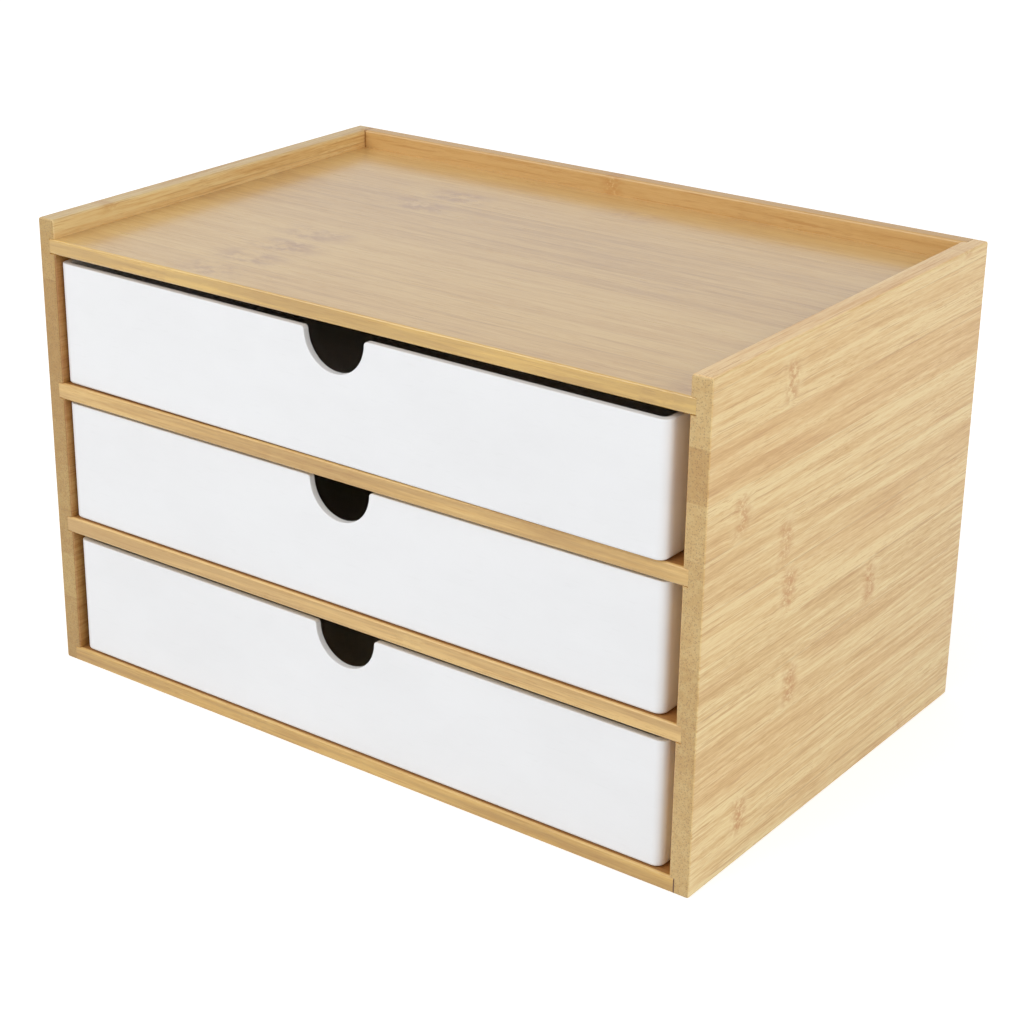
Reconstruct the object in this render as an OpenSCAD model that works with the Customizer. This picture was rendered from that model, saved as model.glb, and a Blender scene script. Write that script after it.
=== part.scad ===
// Small desktop cabinet: a glued case of bamboo boards with a lipped tray top,
// and three moulded trays that slide out of it as drawers.
// Millimetres. X runs across the front, Y runs from front to back, Z is up.
// The origin is the middle of the underside, on the surface that it stands on.

/* [Case] */
// Outer width, across both side panels
case_w = 320; // [220:1:450]
// Outer depth, from the front edges to the rear face
case_d = 205; // [140:1:320]
// Clear height of the upper drawer bay
upper_bay_h = 55.4; // [45:0.1:100]
// Clear height of the middle drawer bay
middle_bay_h = 53.4; // [45:0.1:100]
// Clear height of the lower drawer bay
lower_bay_h = 54.7; // [45:0.1:100]
// Height of the lip that stands round the tray top
lip_h = 8; // [4:0.5:30]

/* [Boards] */
// Thickness of each side panel
side_t = 8.5; // [6:0.5:15]
// Thickness of the tray top
top_t = 6.5; // [5:0.5:12]
// Thickness of each of the two shelves between the bays
shelf_t = 7; // [5:0.5:12]
// Thickness of the bottom board
bottom_t = 6.5; // [5:0.5:12]
// Thickness of the back panel
back_t = 7; // [4:0.5:12]
// Radius that eases the outer edges of the boards
ease_r = 1; // [0.4:0.1:1.5]

/* [Joinery] */
// Depth of the housings in the side panels that hold the ends of the boards
housing_depth = 2.5; // [1.5:0.5:4]
// Gap left for glue between the end of a board and the floor of its housing
glue_gap = 0.2; // [0.1:0.1:0.5]

/* [Drawer fit] */
// Running gap between a drawer and the board it slides on
slide_gap = 0.3; // [0.2:0.1:0.6]
// Gap above a drawer in the least high of the three bays
head_gap = 1.4; // [1:0.1:8]
// Gap on each side of a drawer
side_gap = 3.5; // [0.5:0.1:6]
// How far the face of a drawer that is pushed right in sits behind the front edges
face_recess = 3; // [1:0.1:8]
// Gap between a drawer that is pushed right in and the back panel
stop_gap = 0.5; // [0.3:0.1:2]

/* [Where the drawers lie] */
// How far forward of its closed place the upper drawer stands
upper_forward = 3; // [0:0.1:5]
// How far forward of its closed place the middle drawer stands
middle_forward = 1.5; // [0:0.1:5]
// How far forward of its closed place the lower drawer stands
lower_forward = 1.5; // [0:0.1:5]
// How far the upper drawer's face lies left of the middle, if its play allows it
upper_aside = 3.2; // [0:0.1:6]
// How far the middle drawer's face lies left of the middle, if its play allows it
middle_aside = 2.9; // [0:0.1:6]
// How far the lower drawer's face lies left of the middle, if its play allows it
lower_aside = 1.3; // [0:0.1:6]
// How many degrees the upper drawer is turned, right end forward, if its play allows it
upper_turn = 0.7; // [0:0.1:1]

/* [Drawer tray] */
// Thickness of a drawer's four walls
wall_t = 3; // [2:0.1:4]
// Thickness of a drawer's floor
floor_t = 3; // [2:0.1:5]
// Radius of the upright outer corners
corner_r = 4; // [2:0.1:8]
// Radius along the outer edge of the floor
sole_r = 1.2; // [1:0.1:5]
// Radius of the corners and floor edge inside the tray
inside_r = 2; // [1:0.1:4]

/* [Finger notch] */
// Radius of the round finger notch in the front wall
notch_r = 14.7; // [9:0.1:20]
// Depth of the notch's centre below the rim
notch_drop = 1; // [0:0.1:5]
// Radius that rounds the notch's two upper corners
notch_corner_r = 1.5; // [1:0.1:5]

/* [Hidden] */
$fn = 64;

// How far a cutting shape runs past the faces it cuts
over = 1;

// Heights of the undersides of the boards, from the bottom up
lower_shelf_z = bottom_t + lower_bay_h;
upper_shelf_z = lower_shelf_z + shelf_t + middle_bay_h;
top_z = upper_shelf_z + shelf_t + upper_bay_h;
case_h = top_z + top_t + lip_h;

// Planes of the case
front_y = -case_d / 2;
rear_y = case_d / 2;
back_panel_y = rear_y - back_t;
inner_x = case_w / 2 - side_t;

// Length of every board that is housed in the side panels
board_len = 2 * (inner_x + housing_depth - glue_gap);
board_d = case_d - back_t;

// Outer size of a drawer. The three are alike, so each fits the least high bay.
drawer_w = 2 * (inner_x - side_gap);
drawer_h = min(upper_bay_h, middle_bay_h, lower_bay_h) - slide_gap - head_gap;
drawer_l = case_d - back_t - face_recess - stop_gap;

// A drawer lies aside by no more than its play, and turns until its rear end meets
// the other side. The corner that its turn swings back stays clear of the back panel.
side_play = side_gap - slide_gap;
upper_lie = min(upper_aside, side_play);
middle_lie = min(middle_aside, side_play);
lower_lie = min(lower_aside, side_play);
upper_twist = min(upper_turn, asin((side_play + upper_lie) / drawer_l));
upper_swing = drawer_w / 2 * sin(upper_twist);
upper_out = max(upper_forward, upper_swing + slide_gap - stop_gap);

bamboo_outer = [0.88, 0.75, 0.54];
bamboo_top = [0.80, 0.70, 0.56];
bamboo_edge = [0.84, 0.68, 0.42];
tray_white = [0.94, 0.94, 0.95];

// A rectangle w by h from the origin, with each corner rounded by its own radius.
// The radii go round from the corner at the origin: [origin, right, far, left].
module rounded_rect(w, h, radii) {
    difference() {
        square([w, h]);
        corner_cut(radii[0]);
        translate([w, 0]) rotate(90) corner_cut(radii[1]);
        translate([w, h]) rotate(180) corner_cut(radii[2]);
        translate([0, h]) rotate(270) corner_cut(radii[3]);
    }
}

// What a radius takes off a square corner at the origin; nothing if it is 0
module corner_cut(r) {
    if (r > 0) {
        difference() {
            translate([-over, -over]) square(r + over);
            translate([r, r]) circle(r);
        }
    }
}

// Extrudes an outline drawn in front view (X across, Z up) along Y, from y = 0 back
module along_y(length) {
    translate([0, length, 0]) rotate([90, 0, 0]) linear_extrude(length) children();
}

// Extrudes an outline drawn in side view (Y across, Z up) along X, centred on x = 0
module along_x(length) {
    translate([-length / 2, 0, 0]) rotate([90, 0, 90]) linear_extrude(length) children();
}

// A board that runs between the side panels, with both long front edges eased
module cross_board(underside_z, thickness) {
    translate([0, front_y, underside_z])
        along_x(board_len)
            rounded_rect(board_d, thickness, [ease_r, 0, 0, ease_r]);
}

// The housing that one board fits, open at the front edge of the side panel.
// It is drawn for the right-hand panel.
module housing(from_z, to_z) {
    translate([inner_x - over, front_y - over, from_z])
        cube([housing_depth + over, board_d + over, to_z - from_z]);
}

// A side panel, drawn as the right-hand one: eased all round, with four housings
// for the cross boards and a rebate down the rear edge for the back panel
module side_panel() {
    eased = [ease_r, ease_r, ease_r, ease_r];
    difference() {
        intersection() {
            translate([inner_x + side_t / 2, front_y, 0])
                along_x(side_t) rounded_rect(case_d, case_h, eased);
            translate([inner_x, front_y, 0])
                along_y(case_d) rounded_rect(side_t, case_h, eased);
            translate([inner_x, front_y, 0])
                linear_extrude(case_h) rounded_rect(side_t, case_d, eased);
        }
        housing(-over, bottom_t);
        housing(lower_shelf_z, lower_shelf_z + shelf_t);
        housing(upper_shelf_z, upper_shelf_z + shelf_t);
        housing(top_z, top_z + top_t);
        translate([inner_x - over, back_panel_y, -over])
            cube([housing_depth + over, back_t + over, case_h + 2 * over]);
    }
}

module right_side_panel() {
    color(bamboo_outer) side_panel();
}

module left_side_panel() {
    color(bamboo_outer) mirror([1, 0, 0]) side_panel();
}

// The back panel stands in the rebates, and its top edge is the rear lip
module back_panel() {
    color(bamboo_outer)
        translate([0, back_panel_y, 0])
            along_x(board_len)
                rounded_rect(back_t, case_h, [0, ease_r, ease_r, ease_r]);
}

module top_panel() {
    color(bamboo_top) cross_board(top_z, top_t);
}

module upper_shelf() {
    color(bamboo_edge) cross_board(upper_shelf_z, shelf_t);
}

module lower_shelf() {
    color(bamboo_edge) cross_board(lower_shelf_z, shelf_t);
}

module bottom_panel() {
    color(bamboo_edge) cross_board(0, bottom_t);
}

// A block with rounded upright corners and a rounded lower edge, standing on z = 0,
// centred on x = 0 and running back from y = 0. The lower radius can't pass the
// upright one, because the two blend into each other at the corners.
module tray_block(w, l, h, upright_r, lower_r) {
    foot_r = min(lower_r, upright_r);
    corners = [
        [w / 2 - upright_r, l - upright_r],
        [upright_r - w / 2, l - upright_r],
        [upright_r - w / 2, upright_r],
        [w / 2 - upright_r, upright_r]
    ];
    translate([-w / 2, upright_r, 0])
        along_y(l - 2 * upright_r) rounded_rect(w, h, [foot_r, foot_r, 0, 0]);
    along_x(w - 2 * upright_r) rounded_rect(l, h, [foot_r, foot_r, 0, 0]);
    for (i = [0 : 3]) {
        translate(corners[i]) rotate(90 * i)
            rotate_extrude(angle = 90) rounded_rect(upright_r, h, [0, foot_r, 0, 0]);
    }
}

// Outline of the finger notch in front view, with the rim on z = 0. The rounding at
// each upper corner is a circle that touches both the rim and the notch's own circle,
// and the two meet on the line between their centres.
module notch_outline() {
    reach = notch_r + notch_corner_r;
    below_centre = notch_corner_r - notch_drop;
    corner_x = sqrt(reach * reach - below_centre * below_centre);
    translate([0, -notch_drop]) circle(notch_r);
    difference() {
        polygon([
            [-corner_x, over],
            [corner_x, over],
            [corner_x, -notch_corner_r],
            [0, -notch_drop],
            [-corner_x, -notch_corner_r]
        ]);
        for (side = [-1, 1]) {
            translate([side * corner_x, -notch_corner_r]) circle(notch_corner_r);
        }
    }
}

// One drawer: an open tray with a finger notch in its front wall. It runs in the bay
// above bay_floor_z. Forward is how far it stands out of its closed place, aside how
// far its face lies left of the middle, and turn how far its right end comes forward.
module drawer(bay_floor_z, forward, aside, turn) {
    translate([-aside, front_y + face_recess - forward, bay_floor_z + slide_gap])
    rotate([0, 0, -turn]) {
        difference() {
            tray_block(drawer_w, drawer_l, drawer_h, corner_r, sole_r);
            translate([0, wall_t, floor_t])
                tray_block(
                    drawer_w - 2 * wall_t,
                    drawer_l - 2 * wall_t,
                    drawer_h - floor_t + over,
                    inside_r,
                    inside_r
                );
            translate([0, -over, drawer_h])
                along_y(wall_t + 2 * over) notch_outline();
        }
    }
}

module upper_drawer() {
    color(tray_white)
        drawer(upper_shelf_z + shelf_t, upper_out, upper_lie, upper_twist);
}

module middle_drawer() {
    color(tray_white)
        drawer(lower_shelf_z + shelf_t, middle_forward, middle_lie, 0);
}

module lower_drawer() {
    color(tray_white)
        drawer(bottom_t, lower_forward, lower_lie, 0);
}

left_side_panel();
right_side_panel();
back_panel();
top_panel();
upper_shelf();
lower_shelf();
bottom_panel();
upper_drawer();
middle_drawer();
lower_drawer();
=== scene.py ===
"""Dresses a small bamboo desk cabinet with three white pull-out trays.

Everything is in metres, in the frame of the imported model: X runs across the front,
Y runs from the front to the back, and Z is up. Each board and each tray is built here
as its own mesh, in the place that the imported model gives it, and gets its own finish.
"""

import functools
import logging
import math
import random
from collections.abc import Callable, Sequence
from dataclasses import dataclass, field
from enum import Enum
from typing import ClassVar

import bmesh
import bpy
from mathutils import Matrix, Vector


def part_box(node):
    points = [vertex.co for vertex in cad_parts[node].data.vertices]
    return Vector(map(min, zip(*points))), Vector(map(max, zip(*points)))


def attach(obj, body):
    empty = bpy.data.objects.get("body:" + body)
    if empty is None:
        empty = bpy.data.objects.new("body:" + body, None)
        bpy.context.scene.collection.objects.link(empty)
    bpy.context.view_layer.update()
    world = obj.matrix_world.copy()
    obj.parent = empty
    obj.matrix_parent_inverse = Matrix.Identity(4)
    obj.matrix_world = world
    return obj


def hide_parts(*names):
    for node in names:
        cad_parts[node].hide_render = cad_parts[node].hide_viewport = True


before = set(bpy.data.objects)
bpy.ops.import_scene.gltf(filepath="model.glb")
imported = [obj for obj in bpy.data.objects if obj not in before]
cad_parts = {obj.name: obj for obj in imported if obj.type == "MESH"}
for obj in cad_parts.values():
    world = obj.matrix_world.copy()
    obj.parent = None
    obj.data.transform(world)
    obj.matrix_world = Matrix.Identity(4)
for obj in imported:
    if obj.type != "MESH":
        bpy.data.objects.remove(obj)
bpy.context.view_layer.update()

LOG = logging.getLogger("cabinet")
MM = 0.001
HAIR = 0.01 * MM
FLAT_ANGLE = math.radians(1.0)
SHARP_ANGLE = math.radians(40.0)
INTERNODE = 230.0

Colour = tuple[float, float, float]
Socket = bpy.types.NodeSocket
Value = float | Socket
Point = tuple[float, float, float]
Range = tuple[float, float]


class Axis(Enum):
    """One of the three directions of the cabinet."""

    X = 0
    Y = 1
    Z = 2


class Wiring:
    """Wires together the nodes of one material, or of the room round the cabinet."""

    def __init__(self, owner: bpy.types.Material | bpy.types.World) -> None:
        """Starts without any nodes.

        Args:
            owner: the material or the world that the nodes belong to.
        """
        owner.use_nodes = True
        self.owner = owner
        self.tree = owner.node_tree
        self.tree.nodes.clear()

    def put(self, kind: str, **settings: object) -> bpy.types.Node:
        """Adds a node.

        Args:
            kind: the node's type, without the words ShaderNode.
            settings: the node's own properties.

        Returns:
            The new node.
        """
        node = self.tree.nodes.new("ShaderNode" + kind)
        for key, value in settings.items():
            setattr(node, key, value)
        return node

    def feed(self, socket: Socket, value: Value | Sequence[float]) -> None:
        """Links a value to an input, or sets the input to it.

        Args:
            socket: the input.
            value: another node's output, a number, or a colour or vector.
        """
        if isinstance(value, bpy.types.NodeSocket):
            self.tree.links.new(value, socket)
        elif isinstance(value, (int, float)):
            socket.default_value = value
        else:
            length = len(socket.default_value)
            socket.default_value = (*value, 1.0)[:length]

    def fed(self, kind: str, **inputs: Value | Sequence[float]) -> bpy.types.Node:
        """Adds a node and feeds its inputs.

        Args:
            kind: the node's type, without the words ShaderNode.
            inputs: what each input gets, by its name, with _ for a space.

        Returns:
            The new node.
        """
        node = self.put(kind)
        for name, value in inputs.items():
            self.feed(node.inputs[name.replace("_", " ")], value)
        return node

    def sum(self, operation: str, *values: Value, clamp: bool = False) -> Socket:
        """Works out one arithmetic step.

        Args:
            operation: the step, such as ADD.
            values: one to three numbers or sockets.
            clamp: whether the result is kept from 0 to 1.

        Returns:
            The result.
        """
        node = self.put("Math", operation=operation, use_clamp=clamp)
        for socket, value in zip(node.inputs, values):
            self.feed(socket, value)
        return node.outputs[0]

    def smooth(self, value: Value, low: float, high: float) -> Socket:
        """Rises smoothly from 0 to 1 as a value goes from low to high.

        Args:
            value: what is read.
            low: where the result is 0; it may lie above high.
            high: where the result is 1.

        Returns:
            The result, from 0 to 1.
        """
        flip = low > high
        node = self.put("MapRange", interpolation_type="SMOOTHSTEP")
        ends = (high, low, 1.0, 0.0) if flip else (low, high, 0.0, 1.0)
        for socket, number in zip(node.inputs, (value, *ends)):
            self.feed(socket, number)
        return node.outputs[0]

    def vector(self, *numbers: Value) -> Socket:
        """Joins numbers into a vector.

        Args:
            numbers: the three numbers.

        Returns:
            The vector.
        """
        node = self.put("CombineXYZ")
        for socket, number in zip(node.inputs, numbers):
            self.feed(socket, number)
        return node.outputs[0]

    def grains(self, at: Sequence[Value], sizes: Sequence[float]) -> Socket:
        """Measures a place in grains of the given sizes, ready for noise."""
        return self.vector(*(self.sum("DIVIDE", a, size) for a, size in zip(at, sizes)))

    def parts(self, vector: Socket) -> list[Socket]:
        """Splits a vector into its three numbers.

        Args:
            vector: the vector.

        Returns:
            The three numbers.
        """
        node = self.put("SeparateXYZ")
        self.feed(node.inputs[0], vector)
        return list(node.outputs)

    def noise(self, at: Socket, detail: float = 2.0, rough: float = 0.5) -> Socket:
        """Reads cloudy noise, from 0 to 1.

        Args:
            at: where it is read, one unit to a grain of noise.
            detail: how many finer layers it has.
            rough: how strong the finer layers are.

        Returns:
            The noise.
        """
        node = self.fed("TexNoise", Vector=at, Scale=1.0, Detail=detail, Roughness=rough)
        return node.outputs[0]

    def cells(self, at: Socket) -> Socket:
        """Reads the distance to the nearest of many points, scattered one to a unit."""
        return self.fed("TexVoronoi", Vector=at, Scale=1.0).outputs["Distance"]

    def blend(self, share: Value, a: Socket | Colour, b: Socket | Colour,
              mode: str = "MIX") -> Socket:
        """Mixes two colours.

        Args:
            share: how much of the second colour there is, from 0 to 1.
            a: the first colour.
            b: the second colour.
            mode: how they mix, such as MIX or MULTIPLY.

        Returns:
            The mixed colour.
        """
        node = self.put("Mix", data_type="RGBA", blend_type=mode)
        self.feed(node.inputs[0], share)
        self.feed(node.inputs[6], a)
        self.feed(node.inputs[7], b)
        return node.outputs[2]

    def tinted(self, colour: Socket, tint: Colour) -> Socket:
        """Multiplies a colour by a tint."""
        return self.blend(1.0, colour, tint, "MULTIPLY")

    def steps(self, at: Value, rows: Sequence[tuple[float, ...]]) -> list[Socket]:
        """Looks up one of several rows of four numbers, side by side from 0 to 1.

        Args:
            at: where the row is looked up.
            rows: the rows, at most 32, with numbers from 0 to 1.

        Returns:
            The four numbers of the row found.
        """
        node = self.put("ValToRGB")
        ramp = node.color_ramp
        ramp.interpolation = "CONSTANT"
        while len(ramp.elements) < len(rows):
            ramp.elements.new(len(ramp.elements) / len(rows))
        for i, (element, row) in enumerate(zip(ramp.elements, rows)):
            element.position = i / len(rows)
            element.color = row
        self.feed(node.inputs[0], at)
        return [*self.parts(node.outputs[0])[:3], node.outputs[1]]

    def place(self) -> list[Socket]:
        """Reads the place on the piece.

        Returns:
            The place, as three numbers in millimetres.
        """
        coordinates = self.put("TexCoord").outputs["Object"]
        scaled = self.put("VectorMath", operation="SCALE")
        self.feed(scaled.inputs[0], coordinates)
        self.feed(scaled.inputs["Scale"], 1 / MM)
        return self.parts(scaled.outputs[0])

    def inside(self, place: Sequence[Socket], low: Point, high: Point) -> Socket:
        """Tells whether a place lies in a box.

        Args:
            place: the place.
            low: the lowest corner of the box.
            high: its highest corner.

        Returns:
            1 inside the box, and 0 elsewhere.
        """
        held = [self.sum("GREATER_THAN", at, edge) for at, edge in zip(place, low)]
        held += [self.sum("LESS_THAN", at, edge) for at, edge in zip(place, high)]
        return functools.reduce(lambda a, b: self.sum("MULTIPLY", a, b), held)

    def facing(self, axis: Axis) -> Socket:
        """Gives 1 where the surface faces straight along an axis, and 0 beside it."""
        normal = self.put("NewGeometry").outputs["Normal"]
        return self.sum("ABSOLUTE", self.parts(normal)[axis.value])

    def bump(self, height: Socket, strength: float, distance: float) -> Socket:
        """Turns a height from 0 to 1, where 1 is a distance in metres, into a normal."""
        return self.fed("Bump", Strength=strength, Distance=distance, Height=height).outputs[0]

    def surface(self, colour: Socket, rough: Socket, normal: Socket,
                coat: float = 0.0, coat_rough: float = 0.2) -> bpy.types.Material:
        """Ends the material in one shaded surface.

        Args:
            colour: the base colour.
            rough: the roughness.
            normal: the bumped normal.
            coat: how much clear lacquer lies on top.
            coat_rough: the roughness of the lacquer.

        Returns:
            The finished material.
        """
        shader = self.fed("BsdfPrincipled", Base_Color=colour, Roughness=rough, Normal=normal,
                          Coat_Weight=coat, Coat_Roughness=coat_rough)
        self.fed("OutputMaterial", Surface=shader.outputs[0])
        return self.owner

    def seen_rays(self) -> Socket:
        """Picks out what the camera sees, straight on, in a gloss or through glass.

        Returns:
            1 for what is seen, and 0 for what lights the cabinet.
        """
        path = self.put("LightPath")
        seen = self.sum("MAXIMUM", path.outputs["Is Camera Ray"], path.outputs["Is Glossy Ray"])
        return self.sum("MAXIMUM", seen, path.outputs["Is Transmission Ray"])


@dataclass(frozen=True)
class Strip:
    """One strip of bamboo in a board.

    Its tone goes from 0, pale, to 1, deep. Its warmth goes from 0, straw, to 1, orange.
    Its knuckle is the place of its joint along the grain, in millimetres, and its mark
    says how plainly the joint shows, from 0 to 1.
    """

    tone: float
    warmth: float
    knuckle: float
    mark: float = 1.0


@dataclass(frozen=True)
class Patch:
    """A box in the cabinet, in millimetres, inside which a board's colour is tinted, by glue or
    an edge's own colour, or by painted shade, painted bounce light or a painted sheen.
    """

    low: Point
    high: Point
    tint: Colour


def shaded_bay_floor(height: float) -> Patch:
    """Paints shade on the floor of a bay at a height, behind its front edge, where the tray and
    the boards keep the light off.
    """
    return Patch((-152.0, -101.3, height - 0.4), (152.0, 96.0, height + 0.4), (0.56, 0.40, 0.30))


@dataclass(frozen=True)
class Layup:
    """How the strips of a board lie: along the grain, side by side across it.

    The first strip starts at a place in millimetres.
    """

    grain: Axis
    across: Axis
    start: float
    strips: Sequence[Strip]


@dataclass(frozen=True)
class Fibres:
    """Noise drawn out along the fibres.

    Its grains have a length and a width in millimetres, its detail is the number of
    finer layers, and its share says how far it shifts the tone of the bamboo.
    """

    length: float
    width: float
    detail: float = 2.0
    rough: float = 0.5
    share: float = 0.0


@dataclass(frozen=True)
class JointMark:
    """One kind of mark at the joints of the canes.

    Its grains have a length and a width in millimetres. It starts to show at its edge
    and is full at its core, both in millimetres from the joint. Grains show from their
    low level and are full at their high one.
    """

    length: float
    width: float
    edge: float
    core: float
    low: float
    high: float
    share: float
    detail: float = 2.0
    rough: float = 0.5
    keeps_off_seams: bool = True


@dataclass(frozen=True)
class Spot:
    """Where a point of a board lies among its strips, wired in the board's material."""

    along: Socket
    side: Socket
    depth: Socket
    run: Socket
    shift: Socket
    tone: Socket
    warmth: Socket
    mark: Socket
    near: Socket
    bent: Socket


@dataclass(frozen=True)
class BambooFinish:
    """Bamboo strips glued side by side under a satin lacquer.

    A range says from which reading a mark starts to show and at which one it is full.
    Sizes and spans are in millimetres, and shares go from 0 to 1.
    """

    pale: Colour = (0.82, 0.65, 0.315)
    honey: Colour = (0.69, 0.465, 0.185)
    tan: Colour = (0.53, 0.30, 0.09)
    orange: Colour = (0.74, 0.43, 0.15)
    line_brown: Colour = (0.50, 0.25, 0.07)
    knuckle_brown: Colour = (0.51, 0.215, 0.04)
    knuckle_pale: Colour = (0.86, 0.70, 0.36)
    fleck_brown: Colour = (0.48, 0.235, 0.06)
    end_tint: Colour = (0.82, 0.79, 0.76)
    deep_end_tint: Colour = (0.80, 0.74, 0.66)
    seam_brown: Colour = (0.34, 0.20, 0.09)
    vessel_brown: Colour = (0.25, 0.135, 0.055)
    broad: Fibres = Fibres(110.0, 4.4, 3.0, 0.6, share=1.85)
    bands: Fibres = Fibres(34.0, 1.1, 2.0, 0.6, share=1.35)
    fine: Fibres = Fibres(6.5, 0.42, share=1.1)
    lines: Fibres = Fibres(30.0, 0.7, 1.0, share=0.62)
    dashes: Fibres = Fibres(5.5, 0.34, 1.0)
    crowds: Fibres = Fibres(60.0, 9.0)
    halo: JointMark = JointMark(11.0, 7.0, 12.0, 1.0, 0.38, 0.62, 0.60, keeps_off_seams=False)
    blotch: JointMark = JointMark(3.4, 2.4, 7.5, 0.5, 0.33, 0.61, 0.88, 3.0, 0.7)
    dots: JointMark = JointMark(1.3, 1.1, 4.5, 1.0, 0.56, 0.68, 0.55)
    crowd_range: Range = (0.40, 0.62)
    dash_range: Range = (0.58, 0.69)
    line_range: Range = (0.60, 0.72)
    seam_range: Range = (0.012, 0.003)
    open_seam_range: Range = (0.35, 0.62)
    off_seam_range: Range = (0.5, 0.22)
    end_range: Range = (0.55, 0.8)
    vessel_range: Range = (0.46, 0.14)
    deep_end_range: Range = (0.25, 0.75)
    strip_width: float = 20.4
    internode: float = INTERNODE
    ragged_size: float = 4.0
    ragged_span: float = 8.0
    bow: float = 9.0
    swirl_size: Point = (9.0, 7.0, 1.0)
    swirl_range: Range = (16.0, 0.0)
    swirl_span: float = 5.0
    strip_shift: float = 97.0
    streaks: float = 1.0
    flecks: float = 0.45
    sparse_share: float = 0.25
    orange_share: float = 0.5
    knuckle_size: float = 1.0
    seam_share: float = 0.40
    even_end_share: float = 0.5
    vessel_share: float = 0.50
    vessel_size: Point = (0.8, 0.8, 30.0)
    band_height: float = 0.5
    fine_height: float = 0.4
    dash_depth: float = 0.35
    seam_depth: float = 0.8
    vessel_depth: float = 0.8
    gloss_rough: float = 0.36
    band_rough: float = 0.12
    dash_rough: float = 0.10
    end_rough: float = 0.14
    coat: float = 0.2
    coat_rough: float = 0.22
    bump_share: float = 0.35
    bump_height: float = 0.12 * MM

    def material(self, name: str, layup: Layup,
                 patches: Sequence[Patch]) -> bpy.types.Material:
        """Makes the material of one board.

        Args:
            name: the material's name.
            layup: how the strips of the board lie.
            patches: the places where glue or an edge's own colour changes the colour, and where
                shade, bounce light and sheen are painted on.

        Returns:
            The material.
        """
        w = Wiring(bpy.data.materials.new(name))
        place = w.place()
        spot = self._spot(w, place, layup)
        broad, bands, fine, lines, dashes, crowds = (
            self._fibre_noise(w, spot, fibres) for fibres in
            (self.broad, self.bands, self.fine, self.lines, self.dashes, self.crowds)
        )
        crowd = w.sum("MULTIPLY_ADD", w.smooth(crowds, *self.crowd_range),
                      1.0 - self.sparse_share, self.sparse_share)
        dash = w.sum("MULTIPLY", w.smooth(dashes, *self.dash_range), crowd)
        seam = w.smooth(w.sum("PINGPONG", spot.run, 0.5), *self.seam_range)
        seam = w.sum("MULTIPLY", seam, w.smooth(broad, *self.open_seam_range))
        end = w.smooth(w.facing(layup.grain), *self.end_range)
        vessels = w.cells(w.grains((spot.side, spot.depth, spot.along), self.vessel_size))
        vessels = w.smooth(vessels, *self.vessel_range)

        colour = self._streaked(w, spot, (broad, bands, fine))
        streak = w.smooth(lines, *self.line_range)
        streak = w.sum("MULTIPLY", streak, self.lines.share * self.streaks)
        colour = w.blend(streak, colour, self.line_brown)
        colour = w.blend(w.sum("MULTIPLY", dash, self.flecks), colour, self.fleck_brown)
        colour = self._with_joints(w, spot, colour)
        colour = w.blend(w.sum("MULTIPLY", seam, self.seam_share), colour, self.seam_brown)
        colour = w.blend(end, colour, self._end_grain(w, spot, colour, vessels))
        for patch in patches:
            inside = w.inside(place, patch.low, patch.high)
            colour = w.blend(inside, colour, w.tinted(colour, patch.tint))

        height = w.sum("MULTIPLY", fine, self.fine_height)
        height = w.sum("MULTIPLY_ADD", bands, self.band_height, height)
        for groove, depth in ((dash, self.dash_depth), (seam, self.seam_depth),
                              (w.sum("MULTIPLY", vessels, end), self.vessel_depth)):
            height = w.sum("SUBTRACT", height, w.sum("MULTIPLY", groove, depth))
        rough = self.gloss_rough - self.band_rough / 2
        for roughened, share in ((bands, self.band_rough), (dash, self.dash_rough),
                                 (end, self.end_rough)):
            rough = w.sum("MULTIPLY_ADD", roughened, share, rough)
        bumped = w.bump(height, self.bump_share, self.bump_height)
        return w.surface(colour, rough, bumped, self.coat, self.coat_rough)

    def _spot(self, w: Wiring, place: Sequence[Socket], layup: Layup) -> Spot:
        """Finds out in which strip a point lies, and how near a joint of its cane.

        The joints are bowed and a little ragged, and the fibres swirl beside them.

        Args:
            w: the wiring of the material.
            place: the place on the board.
            layup: how the strips of the board lie.

        Returns:
            The point's place among the strips.
        """
        grain, across = layup.grain.value, layup.across.value
        (third,) = {0, 1, 2} - {grain, across}
        along, side, depth = place[grain], place[across], place[third]
        run = w.sum("DIVIDE", w.sum("SUBTRACT", side, layup.start), self.strip_width)
        rows = [((s.knuckle / self.internode) % 1.0, s.tone, s.warmth, s.mark)
                for s in layup.strips]
        knuckle, tone, warmth, mark = w.steps(w.sum("DIVIDE", run, float(len(rows))), rows)
        shift = w.sum("MULTIPLY", knuckle, self.strip_shift)

        off = w.sum("SUBTRACT", w.sum("DIVIDE", along, self.internode), knuckle)
        off = w.sum("WRAP", off, 0.5, -0.5)
        off = w.sum("MULTIPLY_ADD", off, self.internode, -self.ragged_span / 2)
        ragged = w.noise(w.vector(w.sum("DIVIDE", side, self.ragged_size), shift, 0.0), 2.0, 0.6)
        off = w.sum("MULTIPLY_ADD", ragged, self.ragged_span, off)
        middle = w.sum("SUBTRACT", w.sum("FRACT", run), 0.5)
        off = w.sum("MULTIPLY_ADD", w.sum("MULTIPLY", middle, middle), self.bow, off)
        near = w.sum("DIVIDE", w.sum("ABSOLUTE", off), self.knuckle_size)

        swirl = w.sum("SUBTRACT", w.noise(w.grains((along, side, shift), self.swirl_size)), 0.5)
        swirl = w.sum("MULTIPLY", swirl, w.smooth(near, *self.swirl_range))
        bent = w.sum("MULTIPLY_ADD", w.sum("MULTIPLY", swirl, mark), self.swirl_span, side)
        return Spot(along, side, depth, run, shift, tone, warmth, mark, near, bent)

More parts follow.
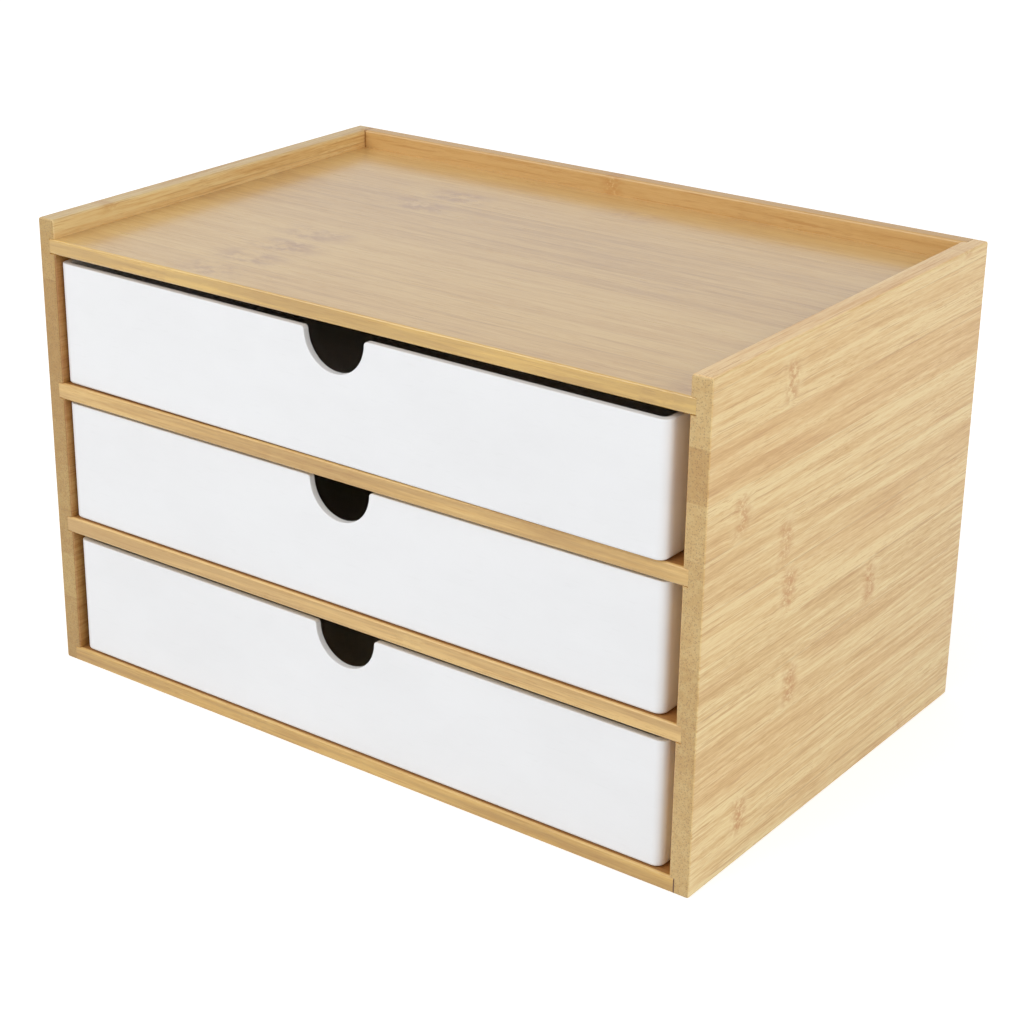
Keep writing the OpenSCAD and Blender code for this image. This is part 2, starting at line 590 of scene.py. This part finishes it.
    def _fibre_noise(self, w: Wiring, spot: Spot, fibres: Fibres) -> Socket:
        """Reads noise drawn out along the fibres.

        Args:
            w: the wiring of the material.
            spot: the place among the strips.
            fibres: the size and the layers of the noise.

        Returns:
            The noise, from 0 to 1.
        """
        return w.noise(w.vector(
            w.sum("MULTIPLY_ADD", spot.along, 1 / fibres.length, spot.shift),
            w.sum("MULTIPLY_ADD", spot.bent, 1 / fibres.width, spot.tone),
            w.sum("DIVIDE", spot.depth, fibres.width),
        ), fibres.detail, fibres.rough)

    def _streaked(self, w: Wiring, spot: Spot, noises: Sequence[Socket]) -> Socket:
        """Colours the strips, each in its own tone with streaks along the fibres.

        Args:
            w: the wiring of the material.
            spot: the place among the strips.
            noises: the broad, the middling and the fine noise.

        Returns:
            The colour.
        """
        tone = spot.tone
        for noise, fibres in zip(noises, (self.broad, self.bands, self.fine)):
            tone = w.sum("MULTIPLY_ADD", w.sum("SUBTRACT", noise, 0.5),
                         fibres.share * self.streaks, tone)
        light = w.sum("MULTIPLY", tone, 2.0, clamp=True)
        dark = w.sum("MULTIPLY_ADD", tone, 2.0, -1.0, clamp=True)
        colour = w.blend(dark, w.blend(light, self.pale, self.honey), self.tan)
        return w.blend(w.sum("MULTIPLY", spot.warmth, self.orange_share), colour, self.orange)

    def _with_joints(self, w: Wiring, spot: Spot, colour: Socket) -> Socket:
        """Draws the joints of the canes: a pale halo, brown mottling and pale dots.

        Args:
            w: the wiring of the material.
            spot: the place among the strips.
            colour: the colour without joints.

        Returns:
            The colour with them.
        """
        place = (spot.along, spot.side, spot.shift)
        off_middle = w.sum("ABSOLUTE", w.sum("SUBTRACT", w.sum("FRACT", spot.run), 0.5))
        off_seam = w.smooth(off_middle, *self.off_seam_range)
        for joint, shade in ((self.halo, self.pale), (self.blotch, self.knuckle_brown),
                             (self.dots, self.knuckle_pale)):
            sizes = (joint.length * self.knuckle_size, joint.width * self.knuckle_size, 1.0)
            grains = w.noise(w.grains(place, sizes), joint.detail, joint.rough)
            shown = w.sum("MULTIPLY", w.smooth(spot.near, joint.edge, joint.core),
                          w.smooth(grains, joint.low, joint.high))
            if joint.keeps_off_seams:
                shown = w.sum("MULTIPLY", shown, off_seam)
            shown = w.sum("MULTIPLY", w.sum("MULTIPLY", shown, spot.mark), joint.share)
            colour = w.blend(shown, colour, shade)
        return colour

    def _end_grain(self, w: Wiring, spot: Spot, colour: Socket, vessels: Socket) -> Socket:
        """Colours the sawn ends of the fibres, evener and duller, with dark vessels.

        Args:
            w: the wiring of the material.
            spot: the place among the strips.
            colour: the colour of the board's faces.
            vessels: how much of a vessel shows.

        Returns:
            The colour of the ends.
        """
        even = w.blend(w.sum("MULTIPLY", spot.tone, 2.0, clamp=True), self.pale, self.honey)
        ends = w.tinted(w.blend(self.even_end_share, colour, even), self.end_tint)
        ends = w.blend(w.sum("MULTIPLY", vessels, self.vessel_share), ends, self.vessel_brown)
        deep = w.smooth(spot.tone, *self.deep_end_range)
        return w.blend(deep, ends, w.tinted(ends, self.deep_end_tint))


@dataclass(frozen=True)
class TrayFinish:
    """White moulded plastic with a fine satin skin.

    The sizes are those of the grains of its clouding, its skin and its scuffs, in
    millimetres.
    """

    white: Colour = (0.870, 0.878, 0.892)
    shade: Colour = (0.842, 0.848, 0.860)
    scuffed: Colour = (0.70, 0.70, 0.70)
    cloud_size: Point = (60.0, 60.0, 30.0)
    skin_size: Point = (0.55, 0.55, 0.55)
    scuff_size: Point = (9.0, 9.0, 0.8)
    cloud_range: Range = (0.3, 0.8)
    scuff_range: Range = (0.60, 0.74)
    scuff_share: float = 0.10
    rough: float = 0.42
    cloud_rough: float = 0.10
    scuff_rough: float = 0.10
    bump_share: float = 0.12
    bump_height: float = 0.06 * MM

    def material(self, name: str) -> bpy.types.Material:
        """Makes the material of one tray.

        Args:
            name: the material's name.

        Returns:
            The material.
        """
        w = Wiring(bpy.data.materials.new(name))
        place = w.place()
        cloud, skin, scuff = (
            w.noise(w.grains(place, size), detail, 0.6) for size, detail in
            ((self.cloud_size, 3.0), (self.skin_size, 2.0), (self.scuff_size, 2.0))
        )
        scuff = w.smooth(scuff, *self.scuff_range)
        colour = w.blend(w.smooth(cloud, *self.cloud_range), self.white, self.shade)
        colour = w.blend(w.sum("MULTIPLY", scuff, self.scuff_share), colour, self.scuffed)
        rough = w.sum("MULTIPLY_ADD", cloud, self.cloud_rough, self.rough - self.cloud_rough / 2)
        rough = w.sum("MULTIPLY_ADD", scuff, self.scuff_rough, rough)
        return w.surface(colour, rough, w.bump(skin, self.bump_share, self.bump_height))


@dataclass(frozen=True)
class FloorFinish:
    """A plain pale floor that looks white from the camera and keeps the shadow."""

    paint: Colour = (0.80, 0.80, 0.80)
    lift: float = 0.58

    def material(self, name: str) -> bpy.types.Material:
        """Makes the floor's material.

        Args:
            name: the material's name.

        Returns:
            The material.
        """
        w = Wiring(bpy.data.materials.new(name))
        matt = w.fed("BsdfDiffuse", Color=self.paint)
        lift = w.sum("MULTIPLY", w.seen_rays(), self.lift)
        glow = w.fed("Emission", Color=(1.0, 1.0, 1.0), Strength=lift)
        both = w.put("AddShader")
        for socket, shader in zip(both.inputs, (matt, glow)):
            w.feed(socket, shader.outputs[0])
        w.fed("OutputMaterial", Surface=both.outputs[0])
        return w.owner


def scattered_strips(count: int, seed: int) -> tuple[Strip, ...]:
    """Chooses the strips of a board that nobody looks at closely.

    Args:
        count: how many strips the board has.
        seed: the seed of the choice.

    Returns:
        The strips.
    """
    pick = random.Random(seed)
    return tuple(
        Strip(pick.uniform(0.05, 0.75), pick.uniform(0.0, 0.6), pick.uniform(0.0, INTERNODE), 0.6)
        for _ in range(count)
    )


def solid_of_cells(xs: Sequence[float], ys: Sequence[float], zs: Sequence[float],
                   filled: Callable[[int, int, int], bool]) -> bmesh.types.BMesh:
    """Builds a closed square-edged solid from the filled cells of an uneven grid.

    Args:
        xs: the grid's planes across X.
        ys: the grid's planes across Y.
        zs: the grid's planes across Z.
        filled: says whether the cell with these three numbers is filled.

    Returns:
        The solid, with its flat faces joined up.
    """
    counts = (len(xs) - 1, len(ys) - 1, len(zs) - 1)
    bm = bmesh.new()

    def solid(cell: Sequence[int]) -> bool:
        """Tells whether a cell is in the grid and filled."""
        return all(0 <= c < n for c, n in zip(cell, counts)) and filled(*cell)

    @functools.cache
    def corner(i: int, j: int, k: int) -> bmesh.types.BMVert:
        """Makes the point at a crossing of the grid, the first time it is needed."""
        return bm.verts.new((xs[i], ys[j], zs[k]))

    cells = [(i, j, k) for i in range(counts[0]) for j in range(counts[1])
             for k in range(counts[2]) if solid((i, j, k))]
    for cell in cells:
        for axis in range(3):
            for step in (-1, 1):
                beyond = list(cell)
                beyond[axis] += step
                if solid(beyond):
                    continue
                b, c = (axis + 1) % 3, (axis + 2) % 3
                ring = []
                for db, dc in ((0, 0), (1, 0), (1, 1), (0, 1)):
                    at = list(cell)
                    at[axis] += (step + 1) // 2
                    at[b] += db
                    at[c] += dc
                    ring.append(corner(*at))
                bm.faces.new(ring if step > 0 else ring[::-1])
    bmesh.ops.dissolve_limit(bm, angle_limit=FLAT_ANGLE, verts=bm.verts, edges=bm.edges)
    return bm


def ease(bm: bmesh.types.BMesh, radius: float, segments: int,
         chosen: Callable[[Vector, Vector], bool]) -> None:
    """Rounds the chosen outer edges of a square-edged solid.

    Args:
        bm: the solid.
        radius: the radius of the rounding.
        segments: how many faces make up the rounding.
        chosen: says whether the edge between two points is rounded.
    """
    edges = [
        e for e in bm.edges
        if e.is_convex and e.calc_face_angle(0.0) > 1.0 and chosen(e.verts[0].co, e.verts[1].co)
    ]
    bmesh.ops.bevel(bm, geom=edges, offset=radius, offset_type="OFFSET", segments=segments,
                    profile=0.5, affect="EDGES", clamp_overlap=True)


@dataclass
class Piece:
    """One separate piece of the cabinet, which stands for one node of the model."""

    node: str
    body: str
    slot: str
    lowest: Vector = field(init=False)
    highest: Vector = field(init=False)

    def __post_init__(self) -> None:
        """Reads where the model puts the piece."""
        self.lowest, self.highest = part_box(self.node)

    def mesh(self) -> bmesh.types.BMesh:
        """Builds the shape of the piece."""
        raise NotImplementedError

    def finish(self) -> bpy.types.Material:
        """Makes the material of the piece."""
        raise NotImplementedError

    def build(self) -> bpy.types.Object:
        """Builds the piece, dresses it, and puts it on its body.

        Returns:
            The finished piece.
        """
        bm = self.mesh()
        bmesh.ops.recalc_face_normals(bm, faces=bm.faces)
        data = bpy.data.meshes.new(self.node + "_mesh")
        bm.to_mesh(data)
        bm.free()
        data.shade_smooth()
        data.set_sharp_from_angle(angle=SHARP_ANGLE)
        piece = bpy.data.objects.new(self.node + "_piece", data)
        bpy.context.scene.collection.objects.link(piece)
        data.materials.append(self.finish())
        even = piece.modifiers.new("even_shading", "WEIGHTED_NORMAL")
        even.keep_sharp = True
        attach(piece, self.body)
        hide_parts(self.node)
        LOG.info("%s: %d faces, rides on %s", piece.name, len(data.polygons), self.body)
        return piece


@dataclass
class Board(Piece):
    """A bamboo board, its edges eased by hand."""

    seed: int = 0
    grain: Axis = Axis.X
    across: Axis = Axis.Y
    bamboo: BambooFinish = BambooFinish()
    strips: tuple[Strip, ...] = ()
    first_cut: float = 0.0
    patches: tuple[Patch, ...] = ()
    ease_r: float = 1.0 * MM
    ease_faces: ClassVar[int] = 4

    def finish(self) -> bpy.types.Material:
        """Makes the board's bamboo. Its first cut is what was sawn off its first strip.

        Returns:
            The material.
        """
        start = self.lowest[self.across.value] / MM - self.first_cut
        width = self.highest[self.across.value] / MM - start
        count = math.ceil(width / self.bamboo.strip_width)
        strips = self.strips or scattered_strips(count, self.seed)
        layup = Layup(self.grain, self.across, start, strips)
        return self.bamboo.material(self.node + "_bamboo", layup, self.patches)


@dataclass
class CrossBoard(Board):
    """A board that runs between the side panels, with its front edges eased."""

    grow: float = 0.18 * MM

    def mesh(self) -> bmesh.types.BMesh:
        """Builds a plain board, pushed home in its housings, and eases its front edges.

        Returns:
            The shape.
        """
        a = self.lowest - Vector((self.grow, 0.0, 0.0))
        b = self.highest + Vector((self.grow, 0.0, 0.0))
        bm = solid_of_cells((a.x, b.x), (a.y, b.y), (a.z, b.z), lambda i, j, k: True)
        ease(bm, self.ease_r, self.ease_faces, lambda p, q: p.y == q.y == a.y and p.z == q.z)
        return bm


@dataclass
class BackPanel(Board):
    """The board at the back, whose top edge is the rear lip."""

    def mesh(self) -> bmesh.types.BMesh:
        """Builds the board and eases its long edges, but not the lower front one.

        Returns:
            The shape.
        """
        a, b = self.lowest, self.highest

        def long_edge(p: Vector, q: Vector) -> bool:
            """Tells whether the edge runs across and isn't the lower front one."""
            across = p.y == q.y and p.z == q.z
            return across and not (p.y == a.y and p.z == a.z)

        bm = solid_of_cells((a.x, b.x), (a.y, b.y), (a.z, b.z), lambda i, j, k: True)
        ease(bm, self.ease_r, self.ease_faces, long_edge)
        return bm


@dataclass
class SidePanel(Board):
    """A side panel, with housings for the cross boards and a rebate for the back."""

    housed: tuple[str, ...] = ("bottom_panel", "lower_shelf", "upper_shelf", "top_panel")
    housing_depth: float = 2.5 * MM

    def mesh(self) -> bmesh.types.BMesh:
        """Builds the panel from its grid and eases all its outer edges.

        Returns:
            The shape.
        """
        a, b = self.lowest, self.highest
        right = a.x > 0
        inner, outer = (a.x, b.x) if right else (b.x, a.x)
        middle = inner + (self.housing_depth if right else -self.housing_depth)
        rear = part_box("back_panel")[0].y
        spans = [(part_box(n)[0].z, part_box(n)[1].z) for n in self.housed]
        levels = sorted({a.z, b.z, *(z for span in spans for z in span)})
        zs = [levels[0]]
        for level in levels:
            if level - zs[-1] > HAIR:
                zs.append(level)
        xs = sorted((inner, middle, outer))
        inside = 0 if right else 1
        planes = ((0, inner), (0, outer), (1, a.y), (1, b.y), (2, a.z), (2, b.z))

        def filled(i: int, j: int, k: int) -> bool:
            """Leaves out the housings and the rear rebate."""
            level = (zs[k] + zs[k + 1]) / 2
            return i != inside or (j == 0 and not any(low < level < high for low, high in spans))

        def outer_edge(p: Vector, q: Vector) -> bool:
            """Picks the edges that lie on two of the panel's outer planes."""
            return sum(abs(p[n] - at) < HAIR and abs(q[n] - at) < HAIR for n, at in planes) == 2

        bm = solid_of_cells(xs, (a.y, rear, b.y), zs, filled)
        ease(bm, self.ease_r, self.ease_faces, outer_edge)
        return bm


@dataclass
class NotchOutline:
    """The finger notch in front view, with its middle at x = 0 and the rim at z = 0."""

    radius: float = 14.7 * MM
    drop: float = 1.0 * MM
    corner_r: float = 1.5 * MM
    corner_steps: int = 6
    round_steps: int = 36

    def path(self) -> list[tuple[float, float, float, float]]:
        """Follows the notch from left to right.

        Returns:
            For each point its x and z, and the x and z of the direction into the wall.
        """
        reach = self.radius + self.corner_r
        below = self.corner_r - self.drop
        corner_x = math.sqrt(reach * reach - below * below)
        touch = math.asin(below / reach)
        points = []
        for i in range(self.corner_steps):
            turn = math.pi / 2 - (math.pi / 2 - touch) * i / self.corner_steps
            cos, sin = math.cos(turn), math.sin(turn)
            points.append((self.corner_r * cos - corner_x, self.corner_r * (sin - 1), -cos, -sin))
        for i in range(self.round_steps + 1):
            turn = math.pi + touch + (math.pi - 2 * touch) * i / self.round_steps
            cos, sin = math.cos(turn), math.sin(turn)
            points.append((self.radius * cos, self.radius * sin - self.drop, cos, sin))
        mirrored = [(-x, z, -nx, nz) for x, z, nx, nz in points[:self.corner_steps]]
        return points + mirrored[::-1]


@dataclass(frozen=True)
class WallLine:
    """One upright line round a tray's wall.

    It goes through a place on the wall's outer face, or for a rounded line through the
    square corner that was there before the rounding. Out points out of the wall, the
    rim is the height of its upper end, and into points from the rim into the wall.
    """

    at: Vector
    out: Vector
    rounded: bool
    rim: float
    into: Vector


@dataclass
class Tray(Piece):
    """A moulded tray with rounded corners and a finger notch in its front wall."""

    turn: float = 0.0
    width: float = 296.0 * MM
    length: float = 194.5 * MM
    wall: float = 3.0 * MM
    floor: float = 3.0 * MM
    corner_r: float = 4.0 * MM
    sole_r: float = 1.2 * MM
    inside_r: float = 2.0 * MM
    rim_r: float = 0.35 * MM
    corner_steps: ClassVar[int] = 8
    round_steps: ClassVar[int] = 6
    rim_steps: ClassVar[int] = 3
    notch: NotchOutline = field(default_factory=NotchOutline)
    plastic: TrayFinish = TrayFinish()

    def finish(self) -> bpy.types.Material:
        """Makes the tray's plastic."""
        return self.plastic.material(self.node + "_plastic")

    def mesh(self) -> bmesh.types.BMesh:
        """Lofts the tray through rings, from under the sole over the rim to its floor.

        Returns:
            The shape.
        """
        walk = self._walk()
        bm = bmesh.new()
        rings = [[bm.verts.new(p) for p in ring] for ring in self._rings(walk)]
        for below, above in zip(rings, rings[1:]):
            for i, corner in enumerate(below):
                j = (i + 1) % len(below)
                bm.faces.new((corner, below[j], above[j], above[i]))
        bm.faces.new(rings[0][::-1])
        bm.faces.new(rings[-1])
        middle = (self.lowest + self.highest) / 2
        bm.transform(Matrix.Translation((middle.x, middle.y, 0.0))
                     @ Matrix.Rotation(math.radians(self.turn), 4, "Z"))
        return bm

    def _walk(self) -> list[WallLine]:
        """Walks round the wall, anticlockwise from the front wall's left end.

        Returns:
            The upright lines of the wall.
        """
        x_end, y_end = self.width / 2, self.length / 2
        top = self.highest.z
        down = Vector((0.0, 0.0, -1.0))
        lines = []

        def corner(x: float, y: float, start: float) -> None:
            """Adds the lines of one rounded corner.

            Args:
                x: the square corner's place across.
                y: its place from front to back.
                start: the angle at which the rounding starts.
            """
            for i in range(self.corner_steps + 1):
                turn = start + math.pi / 2 * i / self.corner_steps
                out = Vector((math.cos(turn), math.sin(turn), 0.0))
                lines.append(WallLine(Vector((x, y, 0.0)), out, True, top, down))

        corner(-x_end, -y_end, math.pi)
        ahead = Vector((0.0, -1.0, 0.0))
        for x, z, nx, nz in self.notch.path():
            lines.append(WallLine(Vector((x, -y_end, 0.0)), ahead, False, top + z,
                                  Vector((nx, 0.0, nz))))
        corner(x_end, -y_end, -math.pi / 2)
        corner(x_end, y_end, 0.0)
        corner(-x_end, y_end, math.pi / 2)
        return lines

    def _rings(self, walk: Sequence[WallLine]) -> list[list[Vector]]:
        """Gives the rings of the loft, in order.

        Args:
            walk: the upright lines round the wall.

        Returns:
            The rings, each a list of points.
        """
        low = self.lowest.z
        floor = low + self.floor
        inner_r = self.wall + self.inside_r
        quarter = [math.pi / 2 * i / self.round_steps for i in range(self.round_steps + 1)]
        rim = [(self.rim_r * (1 - math.cos(turn)), self.rim_r * (1 - math.sin(turn))) for turn in
               (math.pi / 2 * i / self.rim_steps for i in range(self.rim_steps + 1))]
        rings = []
        for turn in quarter:
            inset = self.sole_r * (1 - math.sin(turn))
            height = low + self.sole_r * (1 - math.cos(turn))
            rings.append([self._at(line, inset, self.corner_r, height) for line in walk])
        for inset, sink in (*rim, *((self.wall - inset, sink) for inset, sink in rim[::-1])):
            rings.append([self._rim(line, inset, sink) for line in walk])
        for turn in quarter[::-1]:
            inset = self.wall + self.inside_r * (1 - math.sin(turn))
            height = floor + self.inside_r * (1 - math.cos(turn))
            rings.append([self._at(line, inset, inner_r, height) for line in walk])
        return rings

    def _at(self, line: WallLine, inset: float, round_at: float, height: float) -> Vector:
        """Gives a point of an upright line.

        Args:
            line: the upright line.
            inset: how far inside the outer face the point lies.
            round_at: how far the middle of the corner's rounding lies from both faces.
            height: the point's height.

        Returns:
            The point.
        """
        if not line.rounded:
            point = line.at - line.out * inset
        else:
            inward = Vector((-math.copysign(1.0, line.at.x), -math.copysign(1.0, line.at.y), 0.0))
            point = line.at + inward * round_at + line.out * (round_at - inset)
        return Vector((point.x, point.y, height))

    def _rim(self, line: WallLine, inset: float, sink: float) -> Vector:
        """Gives a point of the rounded rim.

        Args:
            line: the upright line.
            inset: how far inside the outer face the point lies.
            sink: how far the point lies below the rim, square to it.

        Returns:
            The point.
        """
        outer = self._at(line, 0.0, self.corner_r, line.rim)
        inner = self._at(line, self.wall, self.wall + self.inside_r, line.rim)
        return outer.lerp(inner, inset / self.wall) + line.into * sink


@dataclass
class Case:
    """The glued case: two sides, a back, a tray top, two shelves and a bottom."""

    body: str = "case"

    def boards(self) -> list[Board]:
        """Lists the boards of the case, with their own strips and tones.

        Returns:
            The boards.
        """
        side = dict(body=self.body, slot="bamboo_side")
        shelf = dict(body=self.body, slot="bamboo_shelf", bamboo=SHELF_BAMBOO)
        return [
            SidePanel("right_side_panel", grain=Axis.Y, across=Axis.Z, first_cut=11.0,
                      strips=RIGHT_SIDE_STRIPS, patches=(RIGHT_BAY_BOUNCE_LIGHT, RIGHT_LIP_TOP_SHEEN), **side),
            SidePanel("left_side_panel", grain=Axis.Y, across=Axis.Z, first_cut=11.0,
                      strips=LEFT_SIDE_STRIPS, bamboo=LEFT_BAMBOO,
                      patches=(LEFT_BAY_SHADE, LEFT_LIP_TOP_SHADE), **side),
            BackPanel("back_panel", seed=12, grain=Axis.X, across=Axis.Z,
                      bamboo=BACK_BAMBOO, patches=(BACK_CORNER_SHADE, BACK_LIP_TOP_SHADE), **side),
            CrossBoard("top_panel", self.body, "bamboo_top", strips=TOP_STRIPS,
                       bamboo=TOP_BAMBOO, patches=(TOP_EDGE,)),
            CrossBoard("upper_shelf", seed=34, patches=(UPPER_BAY_SHADE,), **shelf),
            CrossBoard("lower_shelf", seed=55, patches=(MIDDLE_BAY_SHADE,), **shelf),
            CrossBoard("bottom_panel", seed=61,
                       patches=(LOWER_BAY_SHADE, GLUE_LINE, BOTTOM_EDGE), **shelf),
        ]

    def build(self) -> None:
        """Builds every board."""
        for board in self.boards():
            board.build()


@dataclass
class Drawers:
    """The three trays, one to a bay."""

    turns: tuple[tuple[str, float], ...] = (
        ("upper_drawer", -0.7),
        ("middle_drawer", 0.0),
        ("lower_drawer", 0.0),
    )

    def build(self) -> None:
        """Builds every tray on its own body, turned as it lies in its bay."""
        for name, turn in self.turns:
            Tray(name, body=name, slot="white_tray", turn=turn).build()


@dataclass(frozen=True)
class Softbox:
    """One soft lamp, with its place and size in metres and its power in watts."""

    name: str
    at: Point
    size: tuple[float, float]
    power: float


@dataclass
class Studio:
    """A pale floor, soft light and the camera."""

    camera_at: Point = (0.5231, -0.7157, 0.4486)
    azimuth: float = -37.96
    tilt: float = -22.4
    lens: float = 80.58
    sensor: float = 36.0
    shift: tuple[float, float] = (0.0751, -0.0161)
    lamps: tuple[Softbox, ...] = (
        Softbox("front_softbox", (-0.8, -1.35, 1.5), (1.8, 1.2), 21.7),
        Softbox("right_softbox", (2.0, -0.3, 0.8), (1.6, 1.2), 15.5),
    )
    lamps_aim_at: Point = (0.0, 0.0, 0.1)
    floor_size: float = 12.0
    zenith: float = 0.50
    horizon: float = 0.80

    def build(self) -> None:
        """Sets up the whole studio."""
        self.floor()
        self.surroundings()
        for softbox in self.lamps:
            self.hang(softbox)
        self.camera()
        bpy.context.scene.view_settings.view_transform = "Standard"

    def floor(self) -> None:
        """Lays the floor that the cabinet stands on."""
        half = self.floor_size / 2
        bm = bmesh.new()
        bm.faces.new([bm.verts.new((x, y, 0.0)) for x, y in
                      ((-half, -half), (half, -half), (half, half), (-half, half))])
        data = bpy.data.meshes.new("floor_mesh")
        bm.to_mesh(data)
        bm.free()
        data.materials.append(FloorFinish().material("floor_paint"))
        floor = bpy.data.objects.new("floor", data)
        bpy.context.scene.collection.objects.link(floor)

    def surroundings(self) -> None:
        """Makes an even white room, a little darker overhead."""
        world = bpy.data.worlds.new("studio")
        bpy.context.scene.world = world
        w = Wiring(world)
        height = w.parts(w.put("TexCoord").outputs["Generated"])[2]
        rise = w.fed("MapRange", Value=height, To_Min=self.horizon, To_Max=self.zenith)
        pick = w.put("Mix")
        w.feed(pick.inputs[0], w.seen_rays())
        w.feed(pick.inputs[2], rise.outputs[0])
        w.feed(pick.inputs[3], 1.0)
        room = w.fed("Background", Strength=pick.outputs[0])
        w.fed("OutputWorld", Surface=room.outputs[0])

    def hang(self, softbox: Softbox) -> None:
        """Hangs one softbox that faces the cabinet.

        Args:
            softbox: the softbox.
        """
        light = bpy.data.lights.new(softbox.name, "AREA")
        light.shape = "RECTANGLE"
        light.size, light.size_y = softbox.size
        light.energy = softbox.power
        lamp = bpy.data.objects.new(softbox.name, light)
        lamp.location = softbox.at
        aim = Vector(self.lamps_aim_at) - Vector(softbox.at)
        lamp.rotation_euler = aim.to_track_quat("-Z", "Y").to_euler()
        bpy.context.scene.collection.objects.link(lamp)

    def camera(self) -> None:
        """Sets up the camera in front of the right-hand corner, a little above."""
        turn, tilt = math.radians(self.azimuth), math.radians(self.tilt)
        ahead = Vector((math.sin(turn) * math.cos(tilt), math.cos(turn) * math.cos(tilt),
                        math.sin(tilt)))
        data = bpy.data.cameras.new("camera")
        data.lens = self.lens
        data.sensor_width = self.sensor
        data.shift_x, data.shift_y = self.shift
        camera = bpy.data.objects.new("camera", data)
        camera.location = self.camera_at
        camera.rotation_euler = ahead.to_track_quat("-Z", "Y").to_euler()
        bpy.context.scene.collection.objects.link(camera)
        bpy.context.scene.camera = camera


LEFT_BAMBOO = BambooFinish(
    end_tint=(0.655, 0.59, 0.46),
)
BACK_BAMBOO = BambooFinish(
    pale=(0.63, 0.41, 0.16),
    honey=(0.54, 0.32, 0.105),
    tan=(0.41, 0.21, 0.06),
)
SHELF_BAMBOO = BambooFinish(
    pale=(0.76, 0.53, 0.21),
    honey=(0.66, 0.42, 0.14),
    tan=(0.48, 0.26, 0.075),
    streaks=0.8,
)
TOP_BAMBOO = BambooFinish(
    pale=(0.715, 0.48, 0.185),
    honey=(0.625, 0.39, 0.14),
    tan=(0.485, 0.28, 0.10),
    orange=(0.655, 0.38, 0.115),
    line_brown=(0.42, 0.225, 0.08),
    knuckle_brown=(0.42, 0.225, 0.10),
    knuckle_pale=(0.68, 0.45, 0.20),
    streaks=0.80,
    flecks=0.3,
    knuckle_size=3.2,
    gloss_rough=0.30,
    coat=0.82,
    coat_rough=0.2,
)
# painted shade: the left side panel's inner faces in the bays darkened beside the trays
LEFT_BAY_SHADE = Patch((-151.9, -103.0, -1.0), (-151.0, 103.0, 184.0), (0.60, 0.44, 0.28))
# painted shade in the inner corner where the left lip meets the back lip
BACK_CORNER_SHADE = Patch((-152.1, 90.0, 190.0), (-150.7, 102.2, 199.0), (0.62, 0.48, 0.34))
TOP_EDGE = Patch((-160.0, -103.0, 183.0), (160.0, -101.9, 191.0), (1.03, 1.02, 0.70))
BOTTOM_EDGE = Patch((-160.0, -103.0, -1.0), (160.0, -101.9, 7.0), (0.93, 0.90, 0.75))
# painted sheen: the top of the right lip made paler and greyer
RIGHT_LIP_TOP_SHEEN = Patch((151.0, -103.0, 198.2), (161.0, 103.0, 199.0), (1.10, 1.05, 1.12))
# painted shade: the top of the left lip darkened
LEFT_LIP_TOP_SHADE = Patch((-161.0, -103.0, 198.2), (-151.0, 103.0, 199.0), (0.86, 0.84, 0.80))
# painted shade: the top of the back lip darkened and warmed
BACK_LIP_TOP_SHADE = Patch((-160.0, 95.0, 198.2), (160.0, 103.0, 199.0), (0.93, 0.87, 0.76))
# painted shade on the floors of the three bays, round the trays
UPPER_BAY_SHADE, MIDDLE_BAY_SHADE, LOWER_BAY_SHADE = map(shaded_bay_floor, (128.6, 68.2, 6.5))
# painted bounce light: the right side panel's inner faces in the bays made brighter and more
# orange, to throw warmer light onto the trays' sides
RIGHT_BAY_BOUNCE_LIGHT = Patch((151.0, -103.0, -1.0), (151.9, 103.0, 184.0), (1.14, 0.92, 0.52))
GLUE_LINE = Patch((153.45, -103.0, -1.0), (155.0, 103.0, 7.0), (0.16, 0.09, 0.08))
RIGHT_SIDE_STRIPS = (
    Strip(0.35, 0.1, 60.0, 0.5),
    Strip(0.32, 0.2, -69.0),
    Strip(0.36, 0.3, 100.0, 0.4),
    Strip(0.45, 0.2, -37.0),
    Strip(0.42, 0.1, 23.0),
    Strip(0.34, 0.4, -42.0),
    Strip(0.38, 0.3, -46.0, 0.8),
    Strip(0.33, 0.4, -78.0, 0.8),
    Strip(0.50, 0.6, 90.0, 0.0),
    Strip(0.26, 0.5, -48.0, 0.9),
    Strip(0.32, 0.5, 84.5, 0.6),
)
LEFT_SIDE_STRIPS = (
    Strip(0.45, 0.3, 40.0, 0.3),
    Strip(0.40, 0.3, -60.0, 0.5),
    Strip(0.25, 0.2, 80.0, 0.3),
    Strip(0.40, 0.3, -20.0, 0.6),
    Strip(0.38, 0.3, 70.0, 0.3),
    Strip(0.42, 0.5, 10.0, 0.5),
    Strip(0.44, 0.8, -80.0, 0.4),
    Strip(0.46, 0.9, 55.0, 0.3),
    Strip(0.44, 1.0, -50.0, 0.4),
    Strip(0.30, 0.9, 35.0, 0.8),
    Strip(0.25, 0.5, -70.0, 0.5),
)
TOP_STRIPS = (
    Strip(0.42, 0.3, -74.0, 0.8),
    Strip(0.30, 0.2, -72.0, 1.0),
    Strip(0.30, 0.3, -70.0, 1.0),
    Strip(0.28, 0.2, -72.0, 0.9),
    Strip(0.50, 0.1, 80.0, 0.3),
    Strip(0.58, 0.1, 45.0, 0.2),
    Strip(0.62, 0.1, -67.0, 1.0),
    Strip(0.45, 0.3, -61.0, 1.0),
    Strip(0.36, 0.2, 15.0, 0.6),
    Strip(0.36, 0.2, 60.0, 0.3),
)


def main() -> None:
    """Builds the cabinet piece by piece, and then the studio round it."""
    logging.basicConfig(level=logging.INFO, format="%(name)s: %(message)s")
    Case().build()
    Drawers().build()
    Studio().build()


if __name__ == "__main__":
    main()
